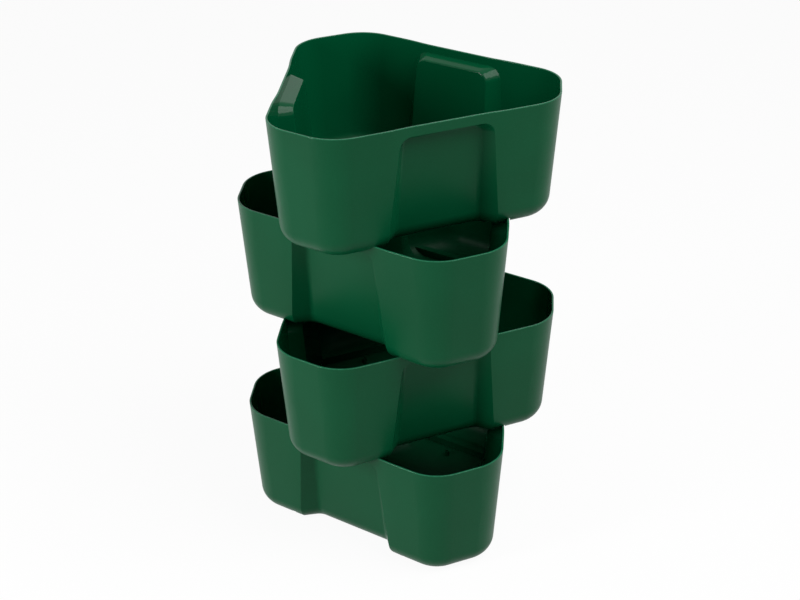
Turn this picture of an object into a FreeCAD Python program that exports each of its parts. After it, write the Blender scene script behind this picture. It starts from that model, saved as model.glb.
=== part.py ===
import FreeCAD, Part
import Sketcher
import math
import os

# Vertical planter tower
#
# Four equal three-lobed bowls stand on one another, each turned a sixth of a turn from
# the one below it, so that the open lobes of one bowl show between the lobes of the next.
# A bowl is one thin moulding: three lobes, three dished sides, a splayed niche in each
# side, a straight groove under each lobe that drops over the rim below, and a small
# drain collar on the floor of each lobe.
#
# The bowl's own frame: the base lies on z = 0 around the z axis, one side looks along +X,
# and the lobes point to 60, 180 and 300 degrees.

LOBES = 3
BOWLS = 4
SIXTH = 180.0 / LOBES
MATCH = 1e-4

SIZES = [
    ("bowl_height", 132.5, "base to rim of one bowl"),
    ("wall", 2.0, "thickness of walls and floor"),
    ("draft", 4.5, "degrees by which the outer walls lean outwards"),
    ("base_rounding", 22.0, "radius between outer wall and base"),
    ("rim_rounding", 0.6, "radius on both edges of the rim"),
    ("side_reach", 117.4, "axis to the flat middle of a side, at the rim"),
    ("side_flat", 64.0, "length of that flat middle"),
    ("flank_step", 1.8, "how much further out the flanks stand"),
    ("flank_run", 40.0, "length of the double bend from flat to flank"),
    ("flank_flat", 2.0, "least straight run of a flank before its lobe's corner"),
    ("lobe_reach", 168.0, "axis to the end of a lobe, at the rim"),
    ("lobe_corner", 46.0, "largest corner radius of a lobe, at the rim"),
    ("groove_depth", 8.5, "how far a bowl drops over the rim below"),
    ("groove_gap_inside", 0.8, "room in the groove on the rim's inner face"),
    ("groove_gap_outside", 1.8, "room in the groove on the rim's outer face"),
    ("panel_reach", 102.7, "axis to the top edge of a niche's back panel"),
    ("panel_drop", 14.4, "rim to the top edge of the panel"),
    ("panel_draft", 4.8, "degrees by which the panel leans outwards"),
    ("panel_top_width", 84.0, "width of the panel at its top edge"),
    ("panel_foot_width", 92.8, "width of the panel at the base plane"),
    ("panel_corner", 9.0, "radius of the panel's top corners"),
    ("niche_roof_angle", 19.8, "degrees by which the roof rises outwards"),
    ("niche_splay_top", 30.0, "degrees by which the cheeks open, at the top"),
    ("niche_splay_foot", 46.0, "degrees by which the cheeks open, at the base"),
    ("niche_corner_growth", 0.3, "corner radius gained for each mm outwards"),
    ("niche_depth", 45.0, "length of the niche's tool past the panel"),
    ("niche_edge_outside", 7.0, "radius between panel, cheeks and roof, outside"),
    ("niche_edge_inside", 2.0, "radius on the same edges, inside"),
    ("niche_foot_rounding", 20.0, "radius between panel or cheek and base"),
    ("drain_reach", 97.0, "axis to a drain"),
    ("drain_collar", 6.0, "outer diameter of a drain's collar"),
    ("drain_bore", 3.6, "diameter of the hole through the collar"),
    ("drain_rise", 6.0, "height of the collar above the floor"),
]

# sizes that follow from others: a corner is rounded as far as the walls leave room
DERIVED = [
    ("lobe_rounding", "=min(lobe_corner; ((lobe_reach - (side_reach + flank_step) * cos({0}))"
                      " / sin({0}) - side_flat / 2 - flank_run - flank_flat) / tan({0} / 2))",
     "corner radius of a lobe at the rim, within its flank"),
    ("base_lean", "=bowl_height * tan(draft)", "how much further in a wall stands at the base"),
    ("foot_rounding", "=min(base_rounding; lobe_rounding - base_lean - wall)",
     "radius between outer wall and base, within the lobe's corner"),
]


def vector(x, y, z):
    return FreeCAD.Vector(x, y, z)


def make_sizes(doc):
    """Write the driving sizes into a sheet: name, value, meaning."""
    sheet = doc.addObject("Spreadsheet::Sheet", "Sizes")
    derived = [(name, rule.format(SIXTH), meaning) for name, rule, meaning in DERIVED]
    for row, (name, value, meaning) in enumerate(SIZES + derived, start=1):
        sheet.set("A%d" % row, name)
        sheet.set("B%d" % row, str(value))
        sheet.set("C%d" % row, meaning)
        sheet.setAlias("B%d" % row, name)
    doc.recompute()
    return sheet


def bind(item, **rules):
    """Tie properties to the sheet; a double underscore stands for a dot."""
    for path, rule in rules.items():
        item.setExpression(path.replace("__", "."), rule)


def origin_plane(body, role):
    """One of a body's own origin planes or axes."""
    return [item for item in body.Origin.OriginFeatures if item.Role == role][0]


# The outline of a bowl


def flank_points(sizes, inset):
    """Half an outline from the flat middle of a side to the tip, as (along, out) pairs.

    A list of pieces: two points are a line, three are an arc.
    """
    flat = sizes.side_flat / 2
    middle = sizes.side_reach - inset
    flank = middle + sizes.flank_step
    run, step = sizes.flank_run, sizes.flank_step
    bend = (run ** 2 + step ** 2) / (4 * step)
    sweep = math.asin(run / (2 * bend))
    hollow, crest = bend + inset, bend - inset

    def on_hollow(angle):
        return (flat + hollow * math.sin(angle), middle + hollow * (1 - math.cos(angle)))

    def on_crest(angle):
        return (flat + run - crest * math.sin(angle), flank - crest * (1 - math.cos(angle)))

    corner = sizes.lobe_rounding - inset
    tip = sizes.lobe_reach - inset
    half_turn = math.radians(SIXTH)
    tip_half = (flank - tip * math.cos(half_turn)) / math.sin(half_turn)
    tip_half -= corner * math.tan(half_turn / 2)
    centre = ((tip - corner) * math.sin(half_turn) - tip_half * math.cos(half_turn),
              flank - corner)

    def on_corner(angle):
        return (centre[0] + corner * math.sin(angle), centre[1] + corner * math.cos(angle))

    return [
        (on_hollow(0), on_hollow(sweep / 2), on_hollow(sweep)),
        (on_crest(sweep), on_crest(sweep / 2), on_crest(0)),
        (on_crest(0), on_corner(0)),
        (on_corner(0), on_corner(half_turn / 2), on_corner(half_turn)),
    ]


def outline(sizes, inset, height):
    """The bowl's closed plan outline at a height, moved inwards by inset."""
    pieces = flank_points(sizes, inset)
    flat_end, tip_end = pieces[0][0], pieces[-1][-1]
    edges = []
    for side in range(LOBES):
        turn = FreeCAD.Rotation(vector(0, 0, 1), 2 * SIXTH * side)
        next_turn = FreeCAD.Rotation(vector(0, 0, 1), 2 * SIXTH * (side + 1))

        def place(point, sign, rotation=turn):
            return rotation.multVec(vector(point[1], sign * point[0], height))

        edges.append(Part.LineSegment(place(flat_end, -1), place(flat_end, 1)).toShape())
        for sign in (1, -1):
            for piece in pieces:
                points = [place(point, sign) for point in piece]
                curve = Part.LineSegment if len(points) == 2 else Part.Arc
                edges.append(curve(*points).toShape())
        tip_line = Part.LineSegment(place(tip_end, 1), place(tip_end, -1, next_turn))
        edges.append(tip_line.toShape())
    return Part.Wire(Part.__sortEdges__(edges))


# The drafted block of a bowl, solid


def drafted_block(doc, sheet, name, inner):
    """A bowl's solid form, or with inner=True the form of the space inside it."""
    wall = sheet.wall if inner else 0.0
    lean = math.tan(math.radians(sheet.draft))
    across = wall / math.cos(math.radians(sheet.draft))
    lines = []
    for level, height in (("base", wall), ("rim", sheet.bowl_height)):
        line = doc.addObject("Part::Feature", name + "_" + level + "_line")
        line.Shape = outline(sheet, across + (sheet.bowl_height - height) * lean, height)
        lines.append(line)
    block = doc.addObject("Part::Loft", name + "_block")
    block.Sections = lines
    block.Solid = True
    block.Ruled = True
    doc.recompute()
    return block


def edges_where(shape, test):
    """The names of the edges for which test is true."""
    return ["Edge%d" % (i + 1) for i, edge in enumerate(shape.Edges) if test(edge)]


def at_height(height):
    def test(edge):
        box = edge.BoundBox
        return abs(box.ZMin - height) < MATCH and abs(box.ZMax - height) < MATCH
    return test


def add_fillet(body, name, base, edges, rule):
    fillet = body.newObject("PartDesign::Fillet", name)
    fillet.Base = (base, edges)
    bind(fillet, Radius=rule)
    body.Document.recompute()
    return fillet


def add_polar(body, name, features, whole=False):
    """Repeat features, or the whole shape, once for each lobe."""
    polar = body.newObject("PartDesign::PolarPattern", name)
    if whole:
        polar.TransformMode = "Whole shape"
    else:
        polar.Originals = features
    polar.Axis = (origin_plane(body, "Z_Axis"), [""])
    polar.Angle = 360
    polar.Occurrences = LOBES
    body.Tip = polar
    return polar


def primitive(body, kind, name, **rules):
    """A PartDesign primitive standing on the body's base plane."""
    item = body.newObject("PartDesign::" + kind, name)
    item.AttachmentSupport = [(origin_plane(body, "XY_Plane"), "")]
    item.MapMode = "FlatFace"
    bind(item, **rules)
    return item


def rounded_form(doc, sheet, name, inner):
    """The block with its base rounded and the grooves cut under its lobes."""
    body = doc.addObject("PartDesign::Body", name + "_body")
    body.BaseFeature = drafted_block(doc, sheet, name, inner)
    doc.recompute()
    grown = "Sizes.wall" if inner else "0"
    base_edges = edges_where(body.Shape, at_height(sheet.wall if inner else 0.0))
    add_fillet(body, name + "_base_rounding", body.Tip, base_edges,
               "Sizes.foot_rounding - " + grown)
    groove = primitive(
        body, "SubtractiveBox", name + "_groove",
        Length="Sizes.wall + Sizes.groove_gap_inside + Sizes.groove_gap_outside + 2 * " + grown,
        Width="2 * Sizes.lobe_reach",
        Height="Sizes.groove_depth + " + grown,
        AttachmentOffset__Base__x="-Sizes.side_reach - Sizes.groove_gap_outside - " + grown,
        AttachmentOffset__Base__y="-Sizes.lobe_reach")
    add_polar(body, name + "_grooves", [groove])
    doc.recompute()
    return body


# The niche in each side


def niche_profile(body, name, grown, out):
    """A trapezoid with two rounded top corners, on a plane that leans with the panel.

    grown is the wall added all round, out the distance past the panel. Both are rules.
    """
    sketch = body.newObject("Sketcher::SketchObject", name)
    sketch.AttachmentSupport = [(origin_plane(body, "YZ_Plane"), "")]
    sketch.MapMode = "FlatFace"
    panel_height = "(Sizes.bowl_height - Sizes.panel_drop)"
    shift = "(%s - %s)" % (out, grown)
    bind(sketch,
         AttachmentOffset__Base__y="-%s * sin(Sizes.panel_draft)" % shift,
         AttachmentOffset__Base__z="Sizes.panel_reach - %s * tan(Sizes.panel_draft)"
                                   " + %s * cos(Sizes.panel_draft)" % (panel_height, shift))
    sketch.AttachmentOffset = FreeCAD.Placement(
        vector(0, 0, 0), FreeCAD.Rotation(vector(1, 0, 0), 1))
    bind(sketch, AttachmentOffset__Rotation__Angle="Sizes.panel_draft")

    # a plain start shape; the rules below give it its size
    top, low, wide, corner = 120.0, -30.0, 50.0, 10.0
    line, arc = Part.LineSegment, Part.ArcOfCircle
    up = vector(0, 0, 1)
    corners = [Part.Circle(vector(sign * (wide - corner), top - corner, 0), up, corner)
               for sign in (1, -1)]
    sketch.addGeometry([
        line(vector(-wide, low, 0), vector(wide, low, 0)),
        line(vector(wide, low, 0), vector(wide, top - corner, 0)),
        arc(corners[0], 0, math.pi / 2),
        line(vector(wide - corner, top, 0), vector(corner - wide, top, 0)),
        arc(corners[1], math.pi / 2, math.pi),
        line(vector(-wide, top - corner, 0), vector(-wide, low, 0)),
    ], False)
    foot, right, right_arc, roof, left_arc, left = range(6)
    sketch.addGeometry(Part.Point(vector(wide, top, 0)), True)
    sketch.addGeometry(Part.Point(vector(wide, 0, 0)), True)
    top_mark, foot_mark = 6, 7
    start, end, axis_x, axis_y, centre = 1, 2, -1, -2, -1
    rules = [
        (("Coincident", foot, end, right, start), None, None),
        (("Coincident", left, end, foot, start), None, None),
        (("Tangent", right, end, right_arc, start), None, None),
        (("Tangent", right_arc, end, roof, start), None, None),
        (("Tangent", roof, end, left_arc, start), None, None),
        (("Tangent", left_arc, end, left, start), None, None),
        (("Symmetric", foot, start, foot, end, axis_y), None, None),
        (("Equal", right_arc, left_arc), None, None),
        (("Symmetric", roof, start, roof, end, axis_y), None, None),
        (("PointOnObject", top_mark, start, right), None, None),
        (("PointOnObject", top_mark, start, roof), None, None),
        (("PointOnObject", foot_mark, start, right), None, None),
        (("PointOnObject", foot_mark, start, axis_x), None, None),
        (("Radius", right_arc, corner), "corner",
         "Sizes.panel_corner + %s + %s * Sizes.niche_corner_growth" % (grown, out)),
        (("DistanceY", centre, 1, roof, end, top), "roof_height",
         "%s / cos(Sizes.panel_draft) + %s + %s * tan(Sizes.niche_roof_angle)"
         % (panel_height, grown, out)),
        (("DistanceY", foot, start, centre, 1, -low), "foot_depth", "Sizes.base_rounding"),
        (("DistanceX", centre, 1, top_mark, start, wide), "half_top",
         "Sizes.panel_top_width / 2 + %s + %s * tan(Sizes.niche_splay_top)" % (grown, out)),
        (("DistanceX", centre, 1, foot_mark, start, wide), "half_foot",
         "Sizes.panel_foot_width / 2 + %s + %s * tan(Sizes.niche_splay_foot)" % (grown, out)),
    ]
    for values, label, rule in rules:
        number = sketch.addConstraint(Sketcher.Constraint(*values))
        if label:
            sketch.renameConstraint(number, label)
            sketch.setExpression("Constraints." + label, rule)
    body.Document.recompute()
    return sketch


def on_plane_of(sketch):
    """A test for edges that lie in a sketch's plane, above the base."""
    origin = sketch.Placement.Base
    normal = sketch.Placement.Rotation.multVec(vector(0, 0, 1))

    def test(edge):
        points = [vertex.Point for vertex in edge.Vertexes] + [edge.CenterOfMass]
        flat = all(abs((point - origin).dot(normal)) < MATCH for point in points)
        return flat and edge.BoundBox.ZMax > MATCH
    return test


def foot_of_niche(height, panel, mouth):
    """A test for edges where a niche's panel and cheeks meet the base plane."""
    normal = mouth.Placement.Rotation.multVec(vector(0, 0, 1))
    level = at_height(height)

    def test(edge):
        middle = edge.valueAt((edge.FirstParameter + edge.LastParameter) / 2)
        past_panel = (middle - panel.Placement.Base).dot(normal)
        past_mouth = (middle - mouth.Placement.Base).dot(normal)
        return level(edge) and past_panel > -MATCH and past_mouth < -MATCH
    return test


def niche_tool(doc, sheet, name, inner):
    """The space of three niches and of all that lies under the base plane, in one tool."""
    grown = "Sizes.wall" if inner else "0"
    base = sheet.wall if inner else 0.0
    body = doc.addObject("PartDesign::Body", name + "_niches")
    panel = niche_profile(body, name + "_niche_panel", grown, "0")
    mouth = niche_profile(body, name + "_niche_mouth", grown, "Sizes.niche_depth")
    loft = body.newObject("PartDesign::AdditiveLoft", name + "_niche_loft")
    loft.Profile = (mouth, [""])
    loft.Sections = [(panel, [""])]
    loft.Ruled = True
    doc.recompute()
    edge_rule = "Sizes.niche_edge_inside" if inner else "Sizes.niche_edge_outside"
    edges = edges_where(loft.Shape, on_plane_of(panel))
    add_fillet(body, name + "_niche_edges", loft, edges, edge_rule)
    primitive(
        body, "AdditiveBox", name + "_under_base",
        Length="2 * Sizes.lobe_reach",
        Width="4 * Sizes.lobe_reach",
        Height="2 * Sizes.base_rounding",
        AttachmentOffset__Base__x="Sizes.wall",
        AttachmentOffset__Base__y="-2 * Sizes.lobe_reach",
        AttachmentOffset__Base__z=grown + " - 2 * Sizes.base_rounding")
    doc.recompute()
    foot = edges_where(body.Shape, foot_of_niche(base, panel, mouth))
    add_fillet(body, name + "_niche_foot", body.Tip, foot,
               "Sizes.niche_foot_rounding - " + grown)
    add_polar(body, name + "_niche_copies", [], whole=True)
    doc.recompute()
    return body


# One bowl


def bowl_form(doc, sheet, name, inner):
    """The rounded form less its niches."""
    form = doc.addObject("Part::Cut", name + "_form")
    form.Base = rounded_form(doc, sheet, name, inner)
    form.Tool = niche_tool(doc, sheet, name, inner)
    return form


def add_drains(body):
    """A short collar with a hole through it, on the floor of each lobe."""
    collar = primitive(
        body, "AdditiveCylinder", "drain_collar",
        Radius="Sizes.drain_collar / 2",
        Height="Sizes.wall + Sizes.drain_rise",
        AttachmentOffset__Base__x="-Sizes.drain_reach")
    bore = primitive(
        body, "SubtractiveCylinder", "drain_bore",
        Radius="Sizes.drain_bore / 2",
        Height="Sizes.wall + Sizes.drain_rise",
        AttachmentOffset__Base__x="-Sizes.drain_reach")
    add_polar(body, "drains", [collar, bore])
    body.Document.recompute()


def make_moulding(doc, sheet):
    """The bowl that every tier repeats."""
    shell = doc.addObject("Part::Cut", "shell")
    shell.Base = bowl_form(doc, sheet, "outer", inner=False)
    shell.Tool = bowl_form(doc, sheet, "inner", inner=True)
    doc.recompute()
    body = doc.addObject("PartDesign::Body", "moulding")
    body.BaseFeature = shell
    doc.recompute()
    add_drains(body)
    rim = edges_where(body.Shape, at_height(sheet.bowl_height))
    add_fillet(body, "rim_edges", body.Tip, rim, "Sizes.rim_rounding")
    return body


# The tower


def stack_bowls(doc, moulding):
    """One body for each bowl, each standing on the rim below and turned a sixth."""
    bowls = []
    for number in range(BOWLS):
        bowl = doc.addObject("PartDesign::Body", "bowl_%d" % (number + 1))
        bowl.Label = "bowl_%d" % (number + 1)
        bowl.BaseFeature = moulding
        turn = SIXTH * number - SIXTH / 2
        bowl.Placement = FreeCAD.Placement(
            vector(0, 0, 0), FreeCAD.Rotation(vector(0, 0, 1), turn))
        bind(bowl, Placement__Base__z=
             "(Sizes.bowl_height - Sizes.groove_depth) * %d" % number)
        bowls.append(bowl)
    doc.recompute()
    return bowls


def check(doc, bowls):
    """Stop if an object failed to build or a bowl is not a sound single solid."""
    for item in doc.Objects:
        if "Invalid" in item.State or "Error" in item.State:
            raise RuntimeError("%s failed: %s" % (item.Label, item.State))
    for bowl in bowls:
        shape = bowl.Shape
        if shape.isNull() or not shape.isValid() or len(shape.Solids) != 1:
            raise RuntimeError(bowl.Label + " is not one sound solid")


def main():
    doc = FreeCAD.newDocument("PlanterTower")
    sheet = make_sizes(doc)
    bowls = stack_bowls(doc, make_moulding(doc, sheet))
    check(doc, bowls)
    os.makedirs("parts", exist_ok=True)
    for bowl in bowls:
        bowl.Shape.exportStep("parts/%s.step" % bowl.Label)
        box = bowl.Shape.BoundBox
        print("%s  volume %.0f mm3  z %.1f to %.1f mm"
              % (bowl.Label, bowl.Shape.Volume, box.ZMin, box.ZMax))


main()
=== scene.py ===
# %% [markdown]
# # A vertical planter tower
#
# Four equal bowls of dark green plastic stand on one another. Every bowl has three lobes
# and is turned a sixth of a turn from the one below, so the lobes that stick out from one
# bowl stay open between the lobes of the next. The shapes were made in CAD and are read
# in as a fixed frame. This lesson gives them their looks: the moulded plastic, the light,
# the floor and the camera of the photograph.

# %% Read the frame
import bpy
import math
from mathutils import Matrix, Vector
from types import SimpleNamespace


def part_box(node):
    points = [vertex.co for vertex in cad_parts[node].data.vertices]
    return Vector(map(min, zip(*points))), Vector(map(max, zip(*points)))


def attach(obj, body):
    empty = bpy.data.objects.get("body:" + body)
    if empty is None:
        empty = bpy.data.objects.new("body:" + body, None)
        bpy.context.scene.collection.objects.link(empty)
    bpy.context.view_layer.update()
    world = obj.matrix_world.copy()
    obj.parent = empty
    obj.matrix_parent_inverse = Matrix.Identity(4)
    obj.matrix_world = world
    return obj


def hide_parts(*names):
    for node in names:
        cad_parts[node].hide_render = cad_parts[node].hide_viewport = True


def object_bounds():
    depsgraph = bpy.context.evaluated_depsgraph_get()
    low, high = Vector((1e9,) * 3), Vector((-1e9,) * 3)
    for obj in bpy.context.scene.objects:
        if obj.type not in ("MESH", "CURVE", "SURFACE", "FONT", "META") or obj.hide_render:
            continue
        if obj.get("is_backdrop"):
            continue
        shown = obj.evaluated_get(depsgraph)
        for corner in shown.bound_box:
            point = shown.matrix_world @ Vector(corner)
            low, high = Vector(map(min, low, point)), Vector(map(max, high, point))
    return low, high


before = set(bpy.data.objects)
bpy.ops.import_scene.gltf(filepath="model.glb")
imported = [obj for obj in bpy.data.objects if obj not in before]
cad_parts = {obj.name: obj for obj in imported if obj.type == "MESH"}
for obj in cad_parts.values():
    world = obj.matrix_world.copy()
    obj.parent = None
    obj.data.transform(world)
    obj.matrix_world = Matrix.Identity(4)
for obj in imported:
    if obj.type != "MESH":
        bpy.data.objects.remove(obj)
cad_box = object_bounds()
bowls = [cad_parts[name] for name in sorted(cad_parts)]
for bowl in bowls:
    low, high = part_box(bowl.name)
    print(f"{bowl.name}: z {low.z * 1000:.1f} to {high.z * 1000:.1f} mm")

# %% [markdown]
# ## Writing node trees as sums
#
# A material is a small calculation that is worked out at each point of a surface. Drawn as
# nodes it soon turns into a web, and built in a script it turns into a long list of links.
# Here one small class stands for an output socket. Python lets a class say what + and *
# mean for it, so `1 - rim * 0.5` adds the Math nodes it needs and returns the last socket.
# A second class stands for the tree that the nodes are added to. Both serve shader trees
# and Geometry Nodes trees.

# %% A socket that can be calculated with


class Wire:
    """One output socket of a node."""

    def __init__(self, bench, socket):
        self.bench, self.socket = bench, socket

    def other(self, name):
        """Another output of the same node."""
        return Wire(self.bench, self.socket.node.outputs[name])

    def __add__(self, value):
        return self.bench.math("ADD", self, value)

    def __sub__(self, value):
        return self.bench.math("SUBTRACT", self, value)

    def __rsub__(self, value):
        return self.bench.math("SUBTRACT", value, self)

    def __mul__(self, value):
        return self.bench.math("MULTIPLY", self, value)

    __radd__ = __add__
    __rmul__ = __mul__


# %% A bench to build a tree on


class Bench:
    """A node tree that is being put together."""

    def __init__(self, tree):
        self.tree = tree

    def add(self, kind, settings=None, sockets=None, out=0):
        """A node with its settings made first, then the values or links of its sockets."""
        node = self.tree.nodes.new(kind)
        for name, value in (settings or {}).items():
            setattr(node, name, value)
        for name, value in (sockets or {}).items():
            if isinstance(value, Wire):
                self.tree.links.new(value.socket, node.inputs[name])
            else:
                node.inputs[name].default_value = value
        return Wire(self, node.outputs[out]) if node.outputs else None

    def math(self, operation, *values):
        """One Math node on numbers or wires."""
        return self.add("ShaderNodeMath", {"operation": operation}, dict(enumerate(values)))

    def ramp(self, value, start, end, low=0.0, high=1.0):
        """From low to high, smoothly, while value goes from start to end."""
        sockets = {0: value, 1: start, 2: end, 3: low, 4: high}
        return self.add("ShaderNodeMapRange", {"interpolation_type": "SMOOTHSTEP"}, sockets)

    def tint(self, factor, start, end):
        """From one colour to another, by the Mix node's colour sockets: 6, 7 and out 2."""
        sockets = {0: factor, 6: start, 7: end}
        return self.add("ShaderNodeMix", {"data_type": "RGBA"}, sockets, out=2)


def new_material(name):
    """An empty material and the bench to build it on."""
    material = bpy.data.materials.new(name)
    material.use_nodes = True
    material.node_tree.nodes.clear()
    return material, Bench(material.node_tree)


# %% [markdown]
# ## The camera
#
# The camera stands where the photographer stood. Four rims of one known shape are seen at
# four heights, which is enough to work out the direction, the distance and the lens. A
# camera in Blender looks along its own -Z axis, so `to_track_quat` turns that axis towards
# the middle of the tower, and a last small turn about the same axis gives the slight tilt
# of the photograph.

# %% Place the camera
VIEW_AZIMUTH = -24.86
VIEW_ELEVATION = 27.60
VIEW_DISTANCE = 1.7884
VIEW_CENTRE = Vector((0.0, 0.0, 0.2543))
VIEW_TILT = -0.58
VIEW_LENS = 73.87
VIEW_SHIFT = 0.00135


def direction(azimuth, elevation):
    """Unit vector from the tower towards a place around it; azimuth 0 is the front, -Y."""
    a, e = math.radians(azimuth), math.radians(elevation)
    return Vector((math.sin(a) * math.cos(e), -math.cos(a) * math.cos(e), math.sin(e)))


def link(data, name):
    """A new object for some data, in the scene."""
    item = bpy.data.objects.new(name, data)
    bpy.context.scene.collection.objects.link(item)
    return item


camera = link(bpy.data.cameras.new("camera"), "camera")
camera.data.lens = VIEW_LENS
camera.data.shift_x = VIEW_SHIFT
back = direction(VIEW_AZIMUTH, VIEW_ELEVATION)
aim = (-back).to_track_quat("-Z", "Y").to_matrix().to_4x4()
tilt = Matrix.Rotation(math.radians(VIEW_TILT), 4, "Z")
camera.matrix_world = Matrix.Translation(VIEW_CENTRE + back * VIEW_DISTANCE) @ aim @ tilt
bpy.context.scene.camera = camera
print(f"camera {VIEW_DISTANCE:.2f} m away, {VIEW_LENS:.1f} mm lens")

# %% [markdown]
# ## A floor that stays white
#
# The photograph shows the tower on plain white. A floor lit up to white would throw far
# too much light back at the dark plastic. So the floor keeps an honest pale colour for the
# light that bounces off it, and only where the camera or a reflection looks at it, most of
# it is replaced by a plain white. What is left of the real floor carries the shadow.

# %% Make the floor
FLOOR_SIZE = 14.0
FLOOR_GREY = 0.82
FLOOR_WHITE = 0.94


def grey(level):
    """A colour without hue, from 0, black, to 1, white."""
    return (level, level, level, 1)


def seen_directly(bench):
    """1 for rays of the camera, of a reflection or through glass, 0 for all other light."""
    seen = bench.add("ShaderNodeLightPath", out="Is Camera Ray")
    both = bench.math("MAXIMUM", seen, seen.other("Is Glossy Ray"))
    return bench.math("MAXIMUM", both, seen.other("Is Transmission Ray"))


def floor_material():
    material, bench = new_material("pale floor")
    paint = bench.add("ShaderNodeBsdfDiffuse", {}, {"Color": grey(FLOOR_GREY)})
    white = bench.add("ShaderNodeEmission", {}, {"Color": grey(1), "Strength": 1.0})
    share = seen_directly(bench) * FLOOR_WHITE
    surface = bench.add("ShaderNodeMixShader", {}, {0: share, 1: paint, 2: white})
    bench.add("ShaderNodeOutputMaterial", {}, {"Surface": surface})
    return material


half = FLOOR_SIZE / 2
floor_mesh = bpy.data.meshes.new("floor")
corners = [(-half, -half, 0), (half, -half, 0), (half, half, 0), (-half, half, 0)]
floor_mesh.from_pydata(corners, [], [(0, 1, 2, 3)])
floor_mesh.materials.append(floor_material())
floor = link(floor_mesh, "floor")
floor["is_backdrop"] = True
print(f"floor {FLOOR_SIZE:.0f} m square")

# %% [markdown]
# ## Light
#
# The shading of the plastic tells where the light came from. The left ends of the lobes
# carry a broad pale band, while the cheeks of the niches that look to the front left are
# dark. So a tall, narrow soft box stands low at the left, and a larger one high at the
# front right. Nothing stands between them. An even, weak sky fills the rest, and it is
# plain white where the camera or a reflection looks at it, as the floor is.

# %% Light the tower
SKY = 0.28


def soft_box(name, azimuth, elevation, distance, size, power):
    """A rectangular lamp that looks at the middle of the tower; size in m, power in W."""
    lamp = link(bpy.data.lights.new(name, "AREA"), name)
    lamp.data.shape = "RECTANGLE"
    lamp.data.size, lamp.data.size_y = size
    lamp.data.energy = power
    away = direction(azimuth, elevation)
    turn = (-away).to_track_quat("-Z", "Y").to_matrix().to_4x4()
    lamp.matrix_world = Matrix.Translation(VIEW_CENTRE + away * distance) @ turn
    print(f"{name}: {power} W at {azimuth} degrees, {elevation} degrees up")


def pale_sky(strength):
    """A sky of this strength that the camera sees as white."""
    world = bpy.data.worlds.new("pale sky")
    bpy.context.scene.world = world
    world.use_nodes = True
    world.node_tree.nodes.clear()
    bench = Bench(world.node_tree)
    level = bench.tint(seen_directly(bench), grey(strength), grey(1))
    sky = bench.add("ShaderNodeBackground", {}, {"Color": level, "Strength": 1.0})
    bench.add("ShaderNodeOutputWorld", {}, {"Surface": sky})


pale_sky(SKY)
soft_box("left box", azimuth=-84, elevation=14, distance=1.7, size=(0.35, 1.0), power=20)
soft_box("front right box", azimuth=34, elevation=54, distance=1.9, size=(1.3, 1.3), power=33)

# %% [markdown]
# ## Marks that the mould leaves
#
# One steel mould made all four bowls. Its hollow half shaped every outer face and was
# eroded to a fine satin grain. Its core shaped the inside and was polished, so that the
# bowl slides off, and that side is glossy. The core let go upwards, so every face that it
# made looks up at least a little, and every face of the hollow half looks down. That rule
# is a calculation on the surface, so Geometry Nodes can work it out on all bowls.
#
# Gloss shows each small error of a normal, and the normals in the CAD file are averaged
# across crisp edges too, such as the mouth of a niche. So the tree drops those normals,
# welds the triangles, and marks an edge as crisp where it bends by more than a fillet's
# steps do. Normals are then worked out again from the faces. The tree also stores two
# numbers for the material: which mould half made a face, and how high a point is on its
# own bowl. A wall's triangles reach from the base to the rim, and a stored number is
# spread evenly over each. Height may be spread like that. Nearness to the rim may not,
# so the material works it out from height.

# %% Inputs of the tree of marks
WELD = 0.00001
CREASE = math.radians(38)
CORE_TILT = 0.02

inputs = [
    ("Geometry", "NodeSocketGeometry"),
    ("Weld", "NodeSocketFloat"),
    ("Crease", "NodeSocketFloat"),
    ("Foot height", "NodeSocketFloat"),
    ("Core tilt", "NodeSocketFloat"),
    ("Plastic", "NodeSocketMaterial"),
]
marks = bpy.data.node_groups.new("mould marks", "GeometryNodeTree")
for name, kind in inputs:
    marks.interface.new_socket(name, in_out="INPUT", socket_type=kind)
marks.interface.new_socket("Geometry", in_out="OUTPUT", socket_type="NodeSocketGeometry")
print(f"mould marks: {len(inputs)} inputs")

# %% Build the tree of marks
bench = Bench(marks)
given = bench.add("NodeGroupInput", out="Geometry")

shape = bench.add("GeometryNodeRemoveAttribute", {},
                  {"Geometry": given, "Name": "custom_normal"})
shape = bench.add("GeometryNodeMergeByDistance", {},
                  {"Geometry": shape, "Distance": given.other("Weld")})
shape = bench.add("GeometryNodeSetShadeSmooth", {"domain": "FACE"},
                  {"Geometry": shape, "Shade Smooth": True})
bend = bench.add("GeometryNodeInputMeshEdgeAngle", out="Unsigned Angle")
gentle = bench.math("LESS_THAN", bend, given.other("Crease"))
shape = bench.add("GeometryNodeSetShadeSmooth", {"domain": "EDGE"},
                  {"Geometry": shape, "Shade Smooth": gentle})

normal = bench.add("GeometryNodeInputNormal")
face_up = bench.add("ShaderNodeSeparateXYZ", {}, {0: normal}, out="Z")
core_side = bench.math("GREATER_THAN", face_up, given.other("Core tilt"))
place = bench.add("GeometryNodeInputPosition")
climb = bench.add("ShaderNodeSeparateXYZ", {}, {0: place}, out="Z") - given.other("Foot height")
for name, value, domain in (("core_side", core_side, "FACE"), ("climb", climb, "POINT")):
    shape = bench.add("GeometryNodeStoreNamedAttribute", {"data_type": "FLOAT", "domain": domain},
                      {"Geometry": shape, "Name": name, "Value": value})

shape = bench.add("GeometryNodeRealizeInstances", {}, {"Geometry": shape})
shape = bench.add("GeometryNodeSetMaterial", {},
                  {"Geometry": shape, "Material": given.other("Plastic")})
bench.add("NodeGroupOutput", {}, {"Geometry": shape})
print(f"mould marks: {len(marks.nodes)} nodes")

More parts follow.
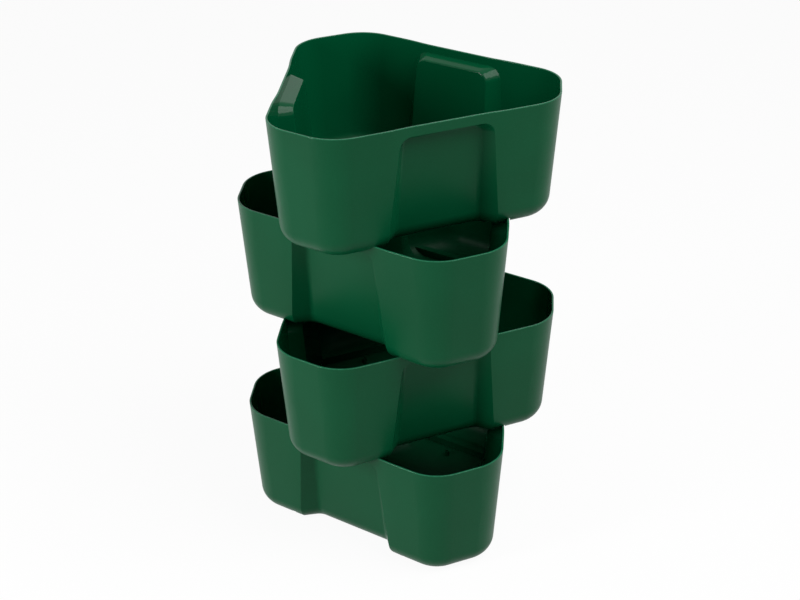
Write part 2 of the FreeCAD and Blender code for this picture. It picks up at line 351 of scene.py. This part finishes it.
# %% [markdown]
# ## Patterns in the plastic
#
# The bowls are polypropylene, coloured right through with a dark green. Seen closely it is
# never one flat colour. Five noises imitate what the mixing, the mould and use leave in
# it, from clouds as wide as a hand down to a grain finer than a millimetre. A noise's
# scale is the number of its spots in a metre. The streaks that the melt leaves as it runs
# up the walls, and the scuffs of stacking, are long and upright: their noise is read with
# the height shrunk, which draws it out.

# %% Read the marks and make the noises
CLOUD_SCALE = 9
STREAK_SCALE = 60
LEATHER_SCALE = 420
SCUFF_SCALE = 700
GRAIN_SCALE = 1500
HEIGHT_SHRUNK = 0.06
RIM_BAND = 0.0012

low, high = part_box(bowls[0].name)
bowl_height = high.z - low.z


def mark(bench, name):
    """A number that the tree of marks stored on the surface."""
    return bench.add("ShaderNodeAttribute", {"attribute_name": name}, {}, out="Fac")


def noise(bench, place, scale, detail, distortion=0.0):
    """A noise with this many spots in a metre."""
    sockets = {"Vector": place, "Scale": scale, "Detail": detail, "Distortion": distortion}
    return bench.add("ShaderNodeTexNoise", {}, sockets)


def patterns(bench):
    """The mould half, the height on the bowl, the nearness to the rim and the noises."""
    place = bench.add("ShaderNodeTexCoord", out="Object")
    tall = bench.add("ShaderNodeVectorMath", {"operation": "MULTIPLY"},
                     {0: place, 1: (1.0, 1.0, HEIGHT_SHRUNK)})
    core = mark(bench, "core_side")
    climb = mark(bench, "climb")
    return SimpleNamespace(
        core=core,
        grained=1 - core,
        climb=climb,
        rim=bench.ramp(climb, bowl_height - RIM_BAND, bowl_height),
        clouds=noise(bench, place, CLOUD_SCALE, detail=2),
        streaks=noise(bench, tall, STREAK_SCALE, detail=3, distortion=0.4),
        leather=noise(bench, place, LEATHER_SCALE, detail=3),
        scuffs=noise(bench, tall, SCUFF_SCALE, detail=2),
        grain=noise(bench, place, GRAIN_SCALE, detail=2),
    )


print(f"a bowl is {bowl_height * 1000:.1f} mm high, its rim's band {RIM_BAND * 1000:.1f} mm")

# %% [markdown]
# ## Colour
#
# The clouds, with a little of the streaks, stir two dark greens that lie close together.
# Outside, pale flecks on the tops of the grain are painted sparkle, light that the grain
# catches. The rim is a little paler too: a painted highlight along its edge, with some wear
# where bowls are stacked and pulled apart. Faint scuffs stand at the foot of the outside.
# Each pattern fades in between two values of its noise.

# %% Mix the colour
GREEN = (0.0003, 0.068, 0.0245, 1)
DEEP_GREEN = (0.0002, 0.061, 0.0215, 1)
PALE_GREEN = (0.0300, 0.190, 0.1000, 1)
STREAK_SHARE = 0.08
STIR_FADE = (0.34, 0.66)
# The pale flecks on the grain are painted sparkle.
SPARKLE_FADE = (0.5, 0.8)
SPARKLE_STRENGTH = 0.12
FOOT_BAND = 0.010
FOOT_FADE = (0.52, 0.7)
FOOT_WEAR = 0.25
# The paler rim is a painted highlight along its edge, partly wear from stacking.
RIM_FADE = (0.35, 0.65)
RIM_HIGHLIGHT_AND_WEAR = 0.35


def base_color(bench, on):
    """Stirred pigment, painted sparkle on the grain, a painted rim highlight with wear, and foot
    wear.
    """
    pigment = on.clouds * (1 - STREAK_SHARE) + on.streaks * STREAK_SHARE
    stirred = bench.tint(bench.ramp(pigment, *STIR_FADE), DEEP_GREEN, GREEN)
    # Pale flecks on the tops of the grain: painted sparkle.
    painted_sparkle = on.grained * bench.ramp(on.grain, *SPARKLE_FADE) * SPARKLE_STRENGTH
    sparkled = bench.tint(painted_sparkle, stirred, PALE_GREEN)
    near_foot = bench.ramp(on.climb, FOOT_BAND, 0.0)
    foot = near_foot * bench.ramp(on.scuffs, *FOOT_FADE) * FOOT_WEAR
    # The paler rim: painted highlight, with some wear from stacking.
    rim = on.rim * (bench.ramp(on.scuffs, *RIM_FADE) * RIM_HIGHLIGHT_AND_WEAR + RIM_HIGHLIGHT_AND_WEAR)
    return bench.tint(rim + foot * on.grained, sparkled, PALE_GREEN)


print(f"base colour: green {GREEN[1]:.3f}, worn places up to {PALE_GREEN[1]:.3f}")

# %% [markdown]
# ## Gloss and relief
#
# The outside is satin: its grain spreads each highlight into the broad band that the
# photograph shows. The polished inside is glossier. On the floors of the lobes the
# photograph shows no more than a few thin lines of light, so the polish fades towards
# the floor. A noise swings about one half, so half is taken off where it only makes a
# roughness vary. The relief is a bump of a few hundredths of a millimetre: grain outside,
# and slow ripples on the polished side.

# %% Set the gloss and the relief
OUTSIDE_ROUGHNESS = 0.36
INSIDE_ROUGHNESS = 0.12
FLOOR_ROUGHNESS = 0.50
FLOOR_ZONE = 0.045
NOISE_MIDDLE = 0.5
CLOUD_SWING = 0.03
LEATHER_SWING = 0.10
RIM_POLISH = 0.12
GRAIN_DEPTH = 0.00003
GRAIN_SHARE = 0.6
RIPPLE_SHARE = 0.3


def roughness(bench, on):
    """Satin outside with a smoother rim, glossy inside down to the duller floor."""
    cloudy = (on.clouds - NOISE_MIDDLE) * CLOUD_SWING
    leathery = (on.leather - NOISE_MIDDLE) * LEATHER_SWING
    outside = cloudy + leathery + OUTSIDE_ROUGHNESS
    inside = bench.ramp(on.climb, FLOOR_ZONE, 0.0, INSIDE_ROUGHNESS, FLOOR_ROUGHNESS)
    return outside * on.grained + inside * on.core - on.rim * on.grained * RIM_POLISH


def relief(bench, on):
    """The bump of the grained outside and of the rippled inside."""
    grained = on.grained * (on.grain * GRAIN_SHARE + on.leather)
    height = grained + on.core * on.clouds * RIPPLE_SHARE
    sockets = {"Strength": 1.0, "Distance": GRAIN_DEPTH, "Height": height}
    return bench.add("ShaderNodeBump", {}, sockets)


print(f"roughness: {OUTSIDE_ROUGHNESS} outside, {INSIDE_ROUGHNESS} to {FLOOR_ROUGHNESS} inside")

# %% [markdown]
# ## The finished plastic
#
# One Principled shader takes the three results. What is the same everywhere, the
# refractive index of polypropylene and the strength of its shine, stands on the shader's
# own sockets. The shine is well under Blender's own value of 0.5, because on so dark a
# green a full shine would turn every wall grey.

# %% Make the plastic
REFRACTIVE_INDEX = 1.49
SHINE_LEVEL = 0.12


def plastic_material():
    material, bench = new_material("green moulded plastic")
    on = patterns(bench)
    sockets = {
        "Base Color": base_color(bench, on),
        "Roughness": roughness(bench, on),
        "Normal": relief(bench, on),
        "IOR": REFRACTIVE_INDEX,
        "Specular IOR Level": SHINE_LEVEL,
    }
    surface = bench.add("ShaderNodeBsdfPrincipled", {}, sockets)
    bench.add("ShaderNodeOutputMaterial", {}, {"Surface": surface})
    return material


plastic = plastic_material()
print(f"plastic: {len(plastic.node_tree.nodes)} nodes")

# %% [markdown]
# ## Skin the bowls
#
# Each bowl is a copy of its CAD triangles that goes through the tree of marks. A modifier
# knows its inputs by their identifiers, so these are looked up by name first. A second
# modifier weights the normals: large faces count for more than small ones, so a flat wall
# stays flat beside its fillets, and the crisp edges stay crisp. The result is turned into
# a plain mesh, because what leaves this file keeps no modifiers. The new bowl rides on its
# body, as the CAD bowl does, and takes its place.

# %% Make the four finished bowls
identifiers = {item.name: item.identifier for item in marks.interface.items_tree
               if item.in_out == "INPUT"}


def skin(bowl):
    """A finished bowl that stands for its CAD node."""
    draft = link(bowl.data.copy(), bowl.name + "_draft")
    modifier = draft.modifiers.new("marks", "NODES")
    modifier.node_group = marks
    values = {
        "Weld": WELD,
        "Crease": CREASE,
        "Foot height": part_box(bowl.name)[0].z,
        "Core tilt": CORE_TILT,
        "Plastic": plastic,
    }
    for name, value in values.items():
        modifier[identifiers[name]] = value
    draft.modifiers.new("weighted normals", "WEIGHTED_NORMAL").keep_sharp = True
    evaluated = draft.evaluated_get(bpy.context.evaluated_depsgraph_get())
    mesh = bpy.data.meshes.new_from_object(evaluated)
    bpy.data.objects.remove(draft)
    finished = link(mesh, bowl.name + "_plastic")
    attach(finished, bowl.name)
    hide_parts(bowl.name)
    return finished


for bowl in bowls:
    finished = skin(bowl)
    mesh = finished.data
    polished = [item.value for item in mesh.attributes["core_side"].data]
    print(f"{finished.name}: {len(mesh.vertices)} points, {len(mesh.polygons)} triangles, "
          f"{sum(polished) / len(polished):.0%} of them polished")

# %% [markdown]
# ## Last look at the size
#
# The boxes of the CAD model and of the finished bowls are gathered, and the size of the finished
# bowls is printed. The finished bowls have to keep the size of the CAD model.

# %% Gather the boxes, print the size and finish
bpy.context.scene.view_settings.view_transform = "Standard"
boxes = {"cad": [list(corner) for corner in cad_box],
         "looks": [list(corner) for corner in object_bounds()]}
print("size in mm:", [round((high - low) * 1000, 1) for low, high in zip(*boxes["looks"])])
